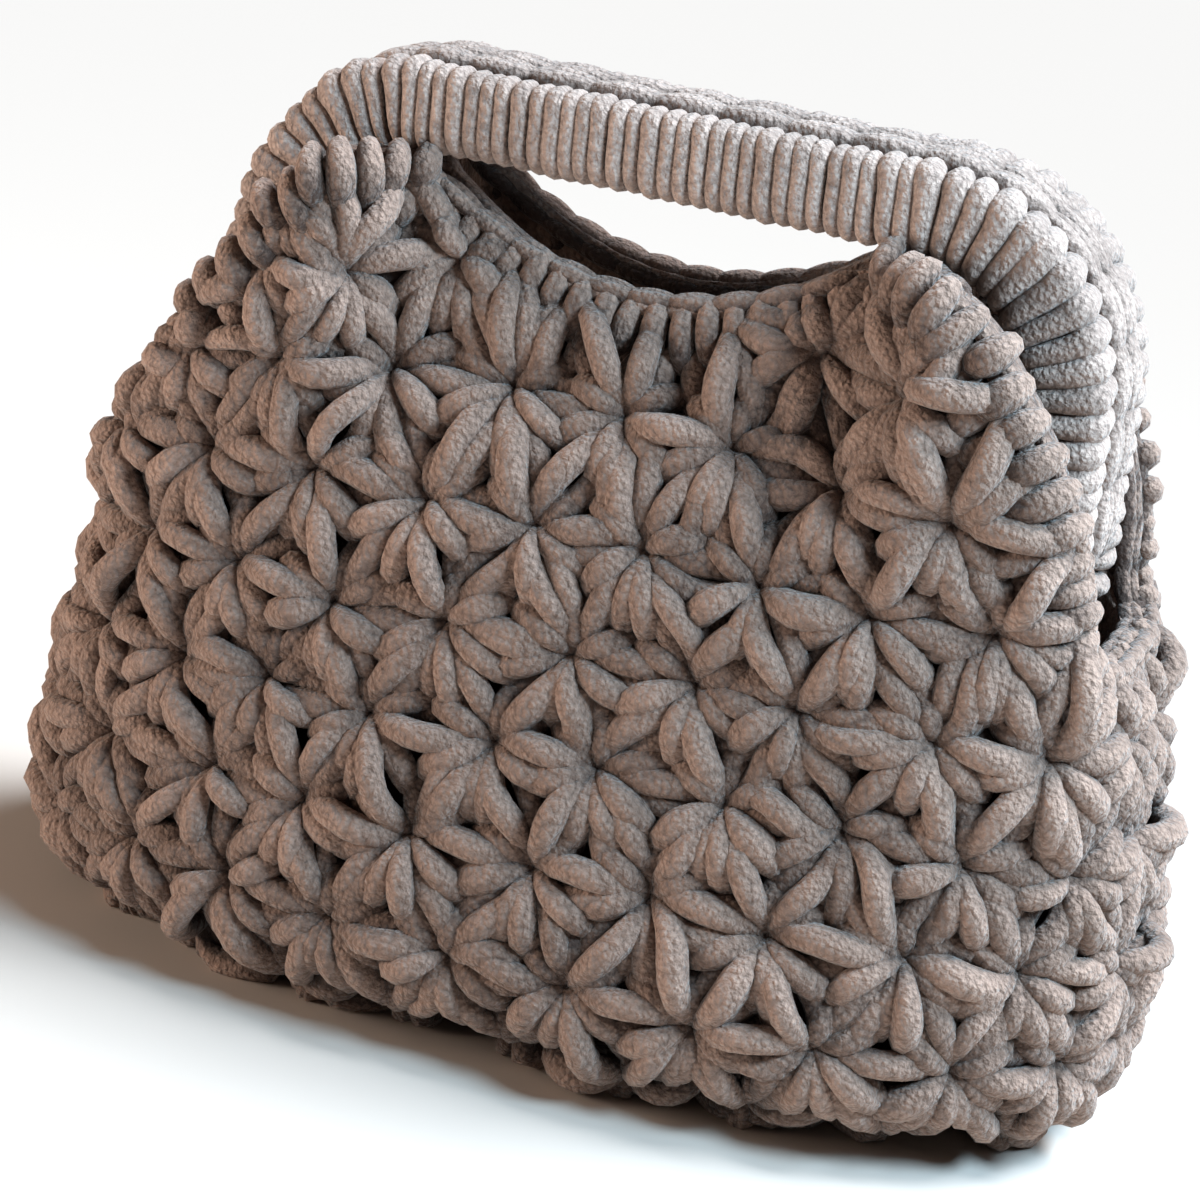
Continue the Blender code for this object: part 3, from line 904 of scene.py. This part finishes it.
def lobe_strands(share, level, star, pairs):
    """Short lobes that fill the gaps between puffs, most of them below each star's centre.

    Along tau a lobe leaves the centre on its heading, with a bend that grows as tau^2.
    Height = lift - sunk + h sin(pi tau^0.9)^0.5, less the dents. The radius grows from 0.36 r
    to 1.08 r as a quarter of a sine and closes round past tau = 0.8.
    """
    yarn = bpy.context.scene.bag_yarn
    rng = np.random.default_rng(yarn.seed + 2)
    site, heading, gap, length = star_gaps(share, level, star, pairs)
    down = np.sin(heading + gap / 2)
    sector = np.select([down < -0.8, down < 0, down < 0.8], [4, 3, 2], 1)
    tau = bunched(SHORT_RINGS)
    fat = np.sqrt(np.clip(1 - ((tau - 0.80) / 0.21) ** 2 * (tau > 0.80), 0.04, 1))
    grow = 0.36 + 0.72 * np.sin(math.pi / 2 * np.clip(tau * 1.45, 0, 1))
    strands = []
    for number, at, reach, high, thick in LOBES:
        mine = sector == number
        count, start = int(mine.sum()), site[mine]
        way = heading[mine] + gap[mine] * (at + rng.normal(0, 0.035, count))
        run = length[mine] * (reach + rng.normal(0, 0.04, count))
        h = yarn.puff * high * uneven(rng, 0.10, count)
        r = yarn.strand / 2 * thick * uneven(rng, 0.05, count)
        bend = rng.normal(0, 0.16, count)[:, None] * tau[None] ** 2
        far = run[:, None] * tau[None]
        lev = level[start][:, None] + far * np.sin(way[:, None] + bend)
        girth = SHELL.girth_at(level)[start][:, None]
        phi = share[start][:, None] + far * np.cos(way[:, None] + bend) / girth
        base, out = SHELL.point(phi, lev), SHELL.normal(phi, lev)
        rise = LOBE_LIFT - yarn.sunk + h[:, None] * np.sin(math.pi * tau[None] ** 0.9) ** 0.5
        radius = r[:, None] * (grow * fat)[None]
        # Painted shade: the lobe is painted darker where it lies deep under the crests
        depth_shade = valley(rise + radius / 2)
        path = base + out * (rise - SHELL.dented(phi, lev))[..., None]
        path[..., 2] = np.maximum(path[..., 2], radius * PRESSED)
        region = place_region(share[start], level[start], level[start])
        strands.append((path, radius, out, depth_shade, tones(rng, 0.5, 0.22, count), region))
    return strands


def place_region(share, level, lowest):
    """Which of REGIONS a place belongs to: the base when its lowest level is under the walls."""
    here = SHELL.point(share, np.maximum(level, 0.0))
    panel = np.where(here[:, 1] < 0, 0, 2) + (level > PANEL_SPLIT)
    end = np.where(here[:, 0] > 0, 4, 5)
    region = np.where(np.abs(here[:, 0]) > PANEL_REACH, end, panel)
    return np.where(lowest < 0, 6, region)


def star_region(share, level, pairs):
    """Which of REGIONS a puff belongs to, by where its middle is."""
    a, b = pairs[:, 0], pairs[:, 1]
    turn = short_way(share[b] - share[a])
    lowest = np.minimum(level[a], level[b])
    return place_region((share[a] + turn / 2) % 1, (level[a] + level[b]) / 2, lowest)


class BAG_OT_stars(bpy.types.Operator):
    """Work the star-puff stitch over the walls and the base"""

    bl_idname = "bag.stars"
    bl_label = "Star puffs"

    def execute(self, context):
        yarn = context.scene.bag_yarn
        share, level, star = star_sites()
        pairs = star_edges(share, level, star)
        region = star_region(share, level, pairs)
        strands = puff_strands(share, level, pairs, region)
        strands += lobe_strands(share, level, star, pairs)
        material = chenille("star_yarn", tuple(yarn.body), tuple(yarn.deep), bump=0.85)
        for number, name in enumerate(REGIONS):
            parts = []
            for path, radius, out, depth_shade, tone, place in strands:
                m = place == number
                parts.append(tubes(path[m], radius[m], out[m], SIDES, depth_shade[m], tone[m], STAR_UNDERSIDE_SHADE))
            data = joined(parts)
            data["points"][:, 2] = np.maximum(data["points"][:, 2], HAIR)
            new_piece(name, data, material, "bag_body")
        return {"FINISHED"}


class BAG_OT_ground(bpy.types.Operator):
    """Make the closed shell that the puffs are worked on, inside and out"""

    bl_idname = "bag.ground"
    bl_label = "Ground of the stitch"

    def execute(self, context):
        yarn = context.scene.bag_yarn
        around, up, down = GROUND_COLUMNS, GROUND_OUT, GROUND_IN
        shares = np.arange(around) / around
        outer_shell, inner_shell = Shell(GROUND_INSET), Shell(KNIT)
        rim = rim_line(shares) + HAIR

        def face(shell, low, rows):
            """Grid point = shell(share, low + (rim - low) v)."""
            v = np.linspace(0, 1, rows)[None]
            level = low + (rim[:, None] - low) * v
            return shell.point(shares[:, None], level)

        outer = face(outer_shell, 0.0, up)
        outer[:, :, 2] = np.maximum(outer[:, :, 2], GROUND_UNDER)
        dent = SHELL.dented(shares[:, None], outer[:, :, 2])
        outer -= dent[..., None] * SHELL.normal(shares[:, None], outer[:, :, 2])
        inner = face(inner_shell, FLOOR, down)[:, ::-1]
        grid = np.concatenate([outer, inner], axis=1)
        points = np.concatenate([grid.reshape(-1, 3), [[0, 0, GROUND_UNDER], [0, 0, FLOOR]]])
        quads, tris = ground_faces(around, up + down)
        # Painted shade of the ground: strong on the outside under the puffs, slight inside the bag
        deep = np.tile(np.repeat(GROUND_SHADE[:2], [up, down]), around)
        data = {
            "points": points, "quads": quads, "tris": tris, "u": points[:, 2],
            "v_quads": np.zeros(quads.shape), "v_tris": np.zeros(tris.shape),
            "deep": np.concatenate([deep, GROUND_SHADE[2:]]), "tone": np.full(len(points), 0.5),
        }
        # Painted shade: the ground is the body's yarn painted a little darker, as it lies under the
        # puffs
        colour = tuple(0.95 * c for c in yarn.body)
        material = chenille("ground_yarn", colour, tuple(yarn.deep), bump=1.0)
        shell = new_piece("stitch_ground", data, material, "bag_body")
        girth = float(outer_shell.girth_at(BELLY_LEVEL))
        return {"FINISHED"}


def ground_faces(around, rows):
    """Faces of a ring of columns, closed by a point under the base and one on the floor."""
    c, r = np.meshgrid(np.arange(around), np.arange(rows - 1), indexing="ij")
    a, b = c * rows + r, ((c + 1) % around) * rows + r
    quads = np.stack([a, b, b + 1, a + 1], axis=-1).reshape(-1, 4)
    c = np.arange(around)
    d = (c + 1) % around
    under = np.stack([0 * c + around * rows, d * rows, c * rows], axis=-1)
    floor = [0 * c + around * rows + 1, c * rows + rows - 1, d * rows + rows - 1]
    return quads, np.concatenate([under, np.stack(floor, axis=-1)])


# Handles and edges


def oblong(angle, high, deep):
    """Rounded oblong: u = high sgn(cos v) |cos v|^(2/n), v = deep sgn(sin v) |sin v|^(2/n)."""
    c, s, power = np.cos(angle), np.sin(angle), 2 / BAR_SQUARENESS
    return np.sign(c) * np.abs(c) ** power * high, np.sign(s) * np.abs(s) ** power * deep


def wound_bar(side):
    """Helix of yarn round the bar, and a core under it painted dark as the shade between the wraps.

    Path = arch(s) + u · inward + v · Y, (u, v) on a rounded oblong, s = s0 + pitch · turn.
    The strand is thinner inside the bar's corners and swells over its outer edge.
    """
    handles, yarn = bpy.context.scene.bag_handles, bpy.context.scene.bag_yarn
    rng = np.random.default_rng(yarn.seed + 3)
    inset = BAR_HEIGHT / 2
    half = arch_half(inset)
    run = np.linspace(-half + WRAP_MARGIN, half - WRAP_MARGIN, WRAP_SAMPLES)
    widens, near, far = WRAP_WIDENS
    spacing = handles.wrap_pitch * (1 + widens * ease(np.abs(run), near, far))
    count = np.concatenate([[0], np.cumsum(np.diff(run) * 2 / (spacing[1:] + spacing[:-1]))])
    wraps = int(count[-1])
    turns = np.linspace(0, wraps, wraps * WRAP_STEPS + 1)
    s = np.interp(turns, count, run)
    spacing = np.interp(turns, count, spacing)
    whole = np.arange(wraps + 1)
    s = s + np.interp(turns, whole, rng.normal(0, WRAP_WANDER, wraps + 1)) * spacing
    angle = 2 * math.pi * turns
    thick = np.interp(turns, whole, uneven(rng, WRAP_THICKNESS, wraps + 1))
    radius = WRAP_RADIUS * spacing * thick
    middle_y = side * (CHAIN_SPACING / 2 + CHAIN_DIAMETER / 2 + GAP + BAR_DEPTH / 2)
    u, v = oblong(angle, inset - WRAP_IN[0], BAR_DEPTH / 2 - WRAP_IN[1])
    u, v = -u, side * v
    place, inward = arch(s, inset)
    corner = ease(np.abs(s), CORNER_X + CORNER_GROWS[0], CORNER_X + CORNER_GROWS[1])
    corner *= 1 - ease(np.abs(s), half - CORNER_FADES[0], half - CORNER_FADES[1])
    radius = radius * (1 - corner * u / (CORNER_RADIUS - inset) * CORNER_THINS)
    swell, crest, width = WRAP_SWELL
    top = np.exp(-((angle % (2 * math.pi) - crest) / width) ** 2)
    spots = np.arange(wraps * WRAP_LUMPS + 1)
    lumps = np.interp(turns * WRAP_LUMPS, spots, rng.normal(0, LUMP_SPREAD, len(spots)))
    radius = radius * (1 + swell * top + lumps)
    path = place + inward * u[:, None] + SIDEWAYS * v[:, None]
    path[:, 1] += middle_y
    out = unit(inward * u[:, None] + SIDEWAYS * v[:, None] * 1.6)
    # No painted shade along the helix's path; its underside still gets the painted underside shade
    light = np.zeros((1, len(s)))
    helix = tubes(path[None], radius[None], out[None], WRAP_SIDES, light, np.array([0.5]))
    tone = np.repeat(np.interp(turns, whole, rng.random(wraps + 1)), WRAP_SIDES)
    helix["tone"][: len(tone)] = tone
    return joined([helix, bar_core(middle_y, inset, half)])


def bar_core(middle_y, inset, half):
    """Core of the bar, painted dark as the shade seen between the wraps: the rounded oblong at every
    ring, with its faces turned out.
    """
    place, inward = arch(np.linspace(-half + 0.001, half - 0.001, CORE_RINGS), inset)
    place[:, 1] = middle_y
    v = np.arange(CORE_SIDES) * (2 * math.pi / CORE_SIDES)
    high, deep = oblong(v, inset - CORE_IN[0], BAR_DEPTH / 2 - CORE_IN[1])
    # Painted shade over the whole core
    thin, dark = np.full((1, CORE_RINGS), 0.001), np.full((1, CORE_RINGS), CORE_SHADE)
    core = tubes(place[None], thin, inward[None], CORE_SIDES, dark, np.array([0.4]))
    ring = place[:, None] + inward[:, None] * high[None, :, None]
    ring = ring + SIDEWAYS * deep[None, :, None]
    core["points"][: CORE_RINGS * CORE_SIDES] = ring.reshape(-1, 3)
    core["deep"][:] = CORE_SHADE
    if np.linalg.det(np.stack([np.gradient(place, axis=0)[5], inward[5], SIDEWAYS])) < 0:
        core["quads"], core["tris"] = core["quads"][:, ::-1], core["tris"][:, ::-1]
    return core


def chain(place, outward, pitch, reach, spread, radius):
    """Chain of V-shaped links. place holds the links' s and y, outward(s) follows the edge.

    A link's two legs run from s to s + reach · pitch. With hill = sin(pi t) each stands
    0.12 spread + spread · hill^0.8 to its side and rises by (0.35 hill - 0.10) r, and its
    radius is r (0.5 + 0.5 hill^0.6).
    """
    s0, y = place["s"], place["y"]
    count = len(s0)
    t = bunched(PUFF_RINGS)
    hill = np.sin(math.pi * t)
    # Painted shade: each link is painted darker towards its ends, where it goes under the next
    depth_shade = (1 - hill**0.5)[None] * np.ones((count, 1)) * 0.8
    rng = np.random.default_rng(count)
    parts = []
    for side in (-1, 1):
        base, out = outward(s0[:, None] + reach * pitch * t[None])
        sway = side * (0.12 * spread + spread * hill**0.8)
        path = base + out * ((0.35 * hill - 0.10) * radius)[None, :, None]
        path[..., 1] += y + sway[None]
        r = radius * uneven(rng, 0.05, count)[:, None] * (0.5 + 0.5 * hill**0.6)[None]
        parts.append(tubes(path, r, out, SIDES, depth_shade, tones(rng, 0.6, 0.2, count)))
    return joined(parts)


class BAG_OT_handles(bpy.types.Operator):
    """Wind the two handles with yarn"""

    bl_idname = "bag.handles"
    bl_label = "Wound handles"

    def execute(self, context):
        yarn = context.scene.bag_yarn
        # The handle yarn's lighter colour is painted light on the wraps
        material = chenille("handle_yarn", tuple(yarn.handle), tuple(yarn.deep), bump=0.8)
        for side, word in ((-1, "front"), (1, "back")):
            new_piece("wraps_" + word, wound_bar(side), material, "handle_" + word)
        return {"FINISHED"}


class BAG_OT_chains(bpy.types.Operator):
    """Crochet the chains along the handles' outer edges"""

    bl_idname = "bag.chains"
    bl_label = "Handle chains"

    def execute(self, context):
        yarn, handles = context.scene.bag_yarn, context.scene.bag_handles
        # The handle yarn's lighter colour is painted light on the chains
        material = chenille("chain_yarn", tuple(yarn.handle), tuple(yarn.deep), bump=0.8)
        inset = 0.30 * CHAIN_DIAMETER
        half = arch_half(inset)
        pitch = handles.chain_pitch
        starts = np.arange(-half + 0.002, half - 1.4 * pitch, pitch)

        def edge(s):
            """The handle's arch a little inside its outer edge, and its outward side."""
            place, inward = arch(s, inset)
            return place, -inward

        for side, word in ((-1, "front"), (1, "back")):
            place = {"s": starts, "y": side * CHAIN_SPACING / 2}
            data = chain(place, edge, pitch, reach=1.42, spread=0.0022, radius=0.0034)
            new_piece("chain_" + word, data, material, "handle_chain_" + word)
        return {"FINISHED"}


class BAG_OT_rims(bpy.types.Operator):
    """Finish the slots' lower edges with a chain and the rim with short posts"""

    bl_idname = "bag.rims"
    bl_label = "Rims"

    def execute(self, context):
        yarn, handles = context.scene.bag_yarn, context.scene.bag_handles
        material = chenille("rim_yarn", tuple(yarn.body), tuple(yarn.deep), bump=0.85)
        pitch = handles.rim_pitch
        half = SLOT_WIDTH / 2
        starts = np.arange(-half + 0.001, half - 1.35 * pitch, pitch)

        def edge(s):
            """x = s, z = slot curve less the chain's radius; outward is its normal."""
            slope = 8 * SLOT_DEPTH * s / SLOT_WIDTH**2
            out = unit(np.stack([-slope, 0 * s, 1 + 0 * s], axis=-1))
            place = np.stack([s, 0 * s, slot_curve(s) - 0.5 * SLOT_RIM_DIAMETER], axis=-1)
            return place, out

        depth = BODY_DEPTH / 2 * float(along_table(np.array([slot_curve(0)]), "depth")[0])
        for side, word in ((-1, "front"), (1, "back")):
            place = {"s": starts, "y": side * (depth - KNIT / 2)}
            data = chain(place, edge, pitch, reach=1.45, spread=0.0022, radius=0.0025)
            new_piece("slot_chain_" + word, data, material, "slot_rim_" + word)
        posts = joined([rim_posts(*row) for row in POST_ROWS])
        new_piece("rim_posts", posts, material, "bag_body")
        new_piece("rim_chain", rim_chain(), material, "bag_body")
        return {"FINISHED"}


def rim_posts(first, lowest, crest, pitch, thick, shoulders):
    """Row of short strands square to the rim, on the handles' shoulders or on the rest of it.

    Path = shell(rim point + inward d), d from first to its length, height = lowest + crest ·
    grown · sin(pi (0.06 + 0.9 t))^0.5, less the dents, radius = r (0.6 + 0.4 sin(pi t)^0.5).
    On the shoulders grown falls to 0.45 near the side rim, and the posts are less even.
    """
    yarn = bpy.context.scene.bag_yarn
    rng = np.random.default_rng(yarn.seed + 5)
    share, rim = rim_points(pitch, 50 * first)
    girth = SHELL.girth_at(rim)
    run = short_way(np.roll(share, -1) - np.roll(share, 1)) * girth
    climb = np.roll(rim, -1) - np.roll(rim, 1)
    inward = unit(np.stack([climb, -run], axis=-1))
    across = np.abs(SHELL.point(share, rim)[:, 0])
    mine = ((across > SLOT_WIDTH / 2 - 0.002) & (rim > SIDE_RIM + 0.018)) == shoulders
    share, rim, girth, inward, count = share[mine], rim[mine], girth[mine], inward[mine], mine.sum()
    t = bunched(SHORT_RINGS)
    loose = 1.9 if shoulders else 1.0
    long = (0.0085 + 0.7 * pitch) * (1 + rng.normal(0, 0.11, count) * loose)
    far = first + rng.normal(0, 0.0007, count)[:, None] * loose + long[:, None] * t[None]
    lean = rng.normal(0, 0.0012, count)[:, None] * loose * t[None]
    phi = share[:, None] + (inward[:, :1] * far + lean) / girth[:, None]
    level = rim[:, None] + inward[:, 1:] * far
    base, out = SHELL.point(phi, level), SHELL.normal(phi, level)
    grown = 0.45 + 0.55 * ease(rim, SIDE_RIM + 0.015, SIDE_RIM + 0.048) if shoulders else rim**0
    rise = lowest + crest * grown[:, None] * np.sin(math.pi * (0.06 + 0.90 * t[None])) ** 0.5
    path = base + out * (rise - SHELL.dented(phi, level))[..., None]
    r = thick * uneven(rng, 0.06, count)[:, None] * (0.6 + 0.4 * np.sin(math.pi * t) ** 0.5)
    # Painted shade: a post is painted darker along its length, in from the rim towards the puffs
    depth_shade = np.clip(t * 1.3 - 0.3, 0, 1)[None] * np.ones((count, 1))
    return tubes(path, r, out, SIDES, depth_shade, tones(rng, 0.5, 0.2, count))


def rim_chain():
    """Chain along the whole rim in three strands, from point to point of the rim line.

    With hill = sin(pi t) a link lies middle + bulge · hill^0.8 over the face, and its radius
    is r (0.55 + 0.45 hill^0.6).
    """
    share, rim = rim_points(RIM_CHAIN_PITCH, 0.5)
    t = bunched(SHORT_RINGS)
    hill = np.sin(math.pi * t)
    gap = short_way(np.roll(share, -1) - share)
    climb = np.roll(rim, -1) - rim
    phi = share[:, None] + RIM_CHAIN_LAP * gap[:, None] * t[None]
    level = rim[:, None] + RIM_CHAIN_LAP * climb[:, None] * t[None] - 0.0005
    base, out = SHELL.point(phi, level), SHELL.normal(phi, level)
    r = RIM_CHAIN_RADIUS * (0.55 + 0.45 * hill**0.6)[None] * np.ones((len(share), 1))
    # Painted shade: each link is painted darker towards its ends
    depth_shade, tone = 0.5 * (1 - hill)[None] * np.ones(r.shape), np.full(len(share), 0.55)
    parts = []
    for middle, bulge in RIM_STRANDS:
        path = base + out * (middle + bulge * hill**0.8)[None, :, None]
        parts.append(tubes(path, r, out, RIM_CHAIN_SIDES, depth_shade, tone))
    return joined(parts)


# Studio


class BAG_OT_stage(bpy.types.Operator):
    """Set the floor, the lights and the camera"""

    bl_idname = "bag.stage"
    bl_label = "Studio"

    def execute(self, context):
        stage = context.scene.bag_stage
        mesh = bpy.data.meshes.new("floor")
        corners = ((-1, -1), (1, -1), (1, 1), (-1, 1))
        mesh.from_pydata(
            [(x * FLOOR_REACH, y * FLOOR_REACH, 0) for x, y in corners], [], [(0, 1, 2, 3)]
        )
        floor = bpy.data.objects.new("floor", mesh)
        context.scene.collection.objects.link(floor)
        paint = bpy.data.materials.new("floor_paint")
        paint.use_nodes = True
        shader = paint.node_tree.nodes["Principled BSDF"]
        shader.inputs["Base Color"].default_value = (*stage.floor, 1)
        shader.inputs["Roughness"].default_value = 0.9
        shader.inputs["Specular IOR Level"].default_value = 0.1
        mesh.materials.append(paint)
        world = bpy.data.worlds.new("studio")
        context.scene.world = world
        world.use_nodes = True
        back = world.node_tree.nodes["Background"]
        back.inputs["Color"].default_value = (*SKY_COLOUR, 1)
        back.inputs["Strength"].default_value = stage.sky
        for name, (kind, place, size, colour) in LIGHTS.items():
            lamp(name, kind, place, size, getattr(stage, name), colour)
        camera()
        context.scene.view_settings.view_transform = "Standard"
        return {"FINISHED"}


def lamp(name, kind, place, size, power, colour):
    """A light turned to the handbag: a sun of an angle, or a round panel of a width."""
    light = bpy.data.lights.new(name, kind)
    if kind == "SUN":
        light.angle = size
    else:
        light.shape, light.size = "DISK", size
    light.energy, light.color = power, colour
    obj = bpy.data.objects.new(name, light)
    bpy.context.scene.collection.objects.link(obj)
    back = unit(np.array(place) - (0, 0, AIM_HEIGHT))
    right = unit(np.cross([0, 0, 1.0], back))
    turn = np.eye(4)
    turn[:3, 0], turn[:3, 1], turn[:3, 2], turn[:3, 3] = right, np.cross(back, right), back, place
    obj.matrix_world = Matrix(turn.tolist())


def camera():
    """Camera axes: back from turn and tilt, then right and up turned by the roll."""
    a, e, r = (math.radians(v) for v in (CAMERA_TURN, CAMERA_TILT, CAMERA_ROLL))
    back = np.array([math.sin(a) * math.cos(e), -math.cos(a) * math.cos(e), math.sin(e)])
    right = np.array([math.cos(a), math.sin(a), 0])
    up = np.cross(back, right)
    turn = np.eye(4)
    turn[:3, 0] = right * math.cos(r) + up * math.sin(r)
    turn[:3, 1] = up * math.cos(r) - right * math.sin(r)
    turn[:3, 2], turn[:3, 3] = back, CAMERA_PLACE
    data = bpy.data.cameras.new("view")
    data.sensor_width, data.lens = 36, 36 * CAMERA_FOCAL
    data.clip_start, data.clip_end = 0.01, 50
    obj = bpy.data.objects.new("view", data)
    bpy.context.scene.collection.objects.link(obj)
    obj.matrix_world = Matrix(turn.tolist())
    bpy.context.scene.camera = obj


# Sidebar and registration


OPERATORS = (
    BAG_OT_ground, BAG_OT_stars, BAG_OT_handles, BAG_OT_chains, BAG_OT_rims, BAG_OT_stage,
)
GROUPS = (("bag_yarn", BagYarn), ("bag_handles", BagHandles), ("bag_stage", BagStage))


class BAG_PT_sidebar(bpy.types.Panel):
    """Sizes, colours and pieces of the handbag"""

    bl_idname = "BAG_PT_sidebar"
    bl_label = "Crocheted handbag"
    bl_space_type = "VIEW_3D"
    bl_region_type = "UI"
    bl_category = "Bag"

    def draw(self, context):
        for name, group in GROUPS:
            box = self.layout.box()
            box.label(text=group.__doc__)
            for key in group.__annotations__:
                box.prop(getattr(context.scene, name), key)
        for operator in OPERATORS:
            self.layout.operator(operator.bl_idname)


def register():
    """Make the classes known and hang the groups on the scene."""
    for name, group in GROUPS:
        bpy.utils.register_class(group)
        setattr(bpy.types.Scene, name, PointerProperty(type=group))
    for made in (*OPERATORS, BAG_PT_sidebar):
        bpy.utils.register_class(made)


def unregister():
    """Take back what register did."""
    for made in (*OPERATORS, BAG_PT_sidebar):
        bpy.utils.unregister_class(made)
    for name, group in GROUPS:
        delattr(bpy.types.Scene, name)
        bpy.utils.unregister_class(group)


def main():
    """Register the classes and run every operator."""
    register()
    for operator in OPERATORS:
        group, word = operator.bl_idname.split(".")
        getattr(getattr(bpy.ops, group), word)()


if __name__ == "__main__":
    main()
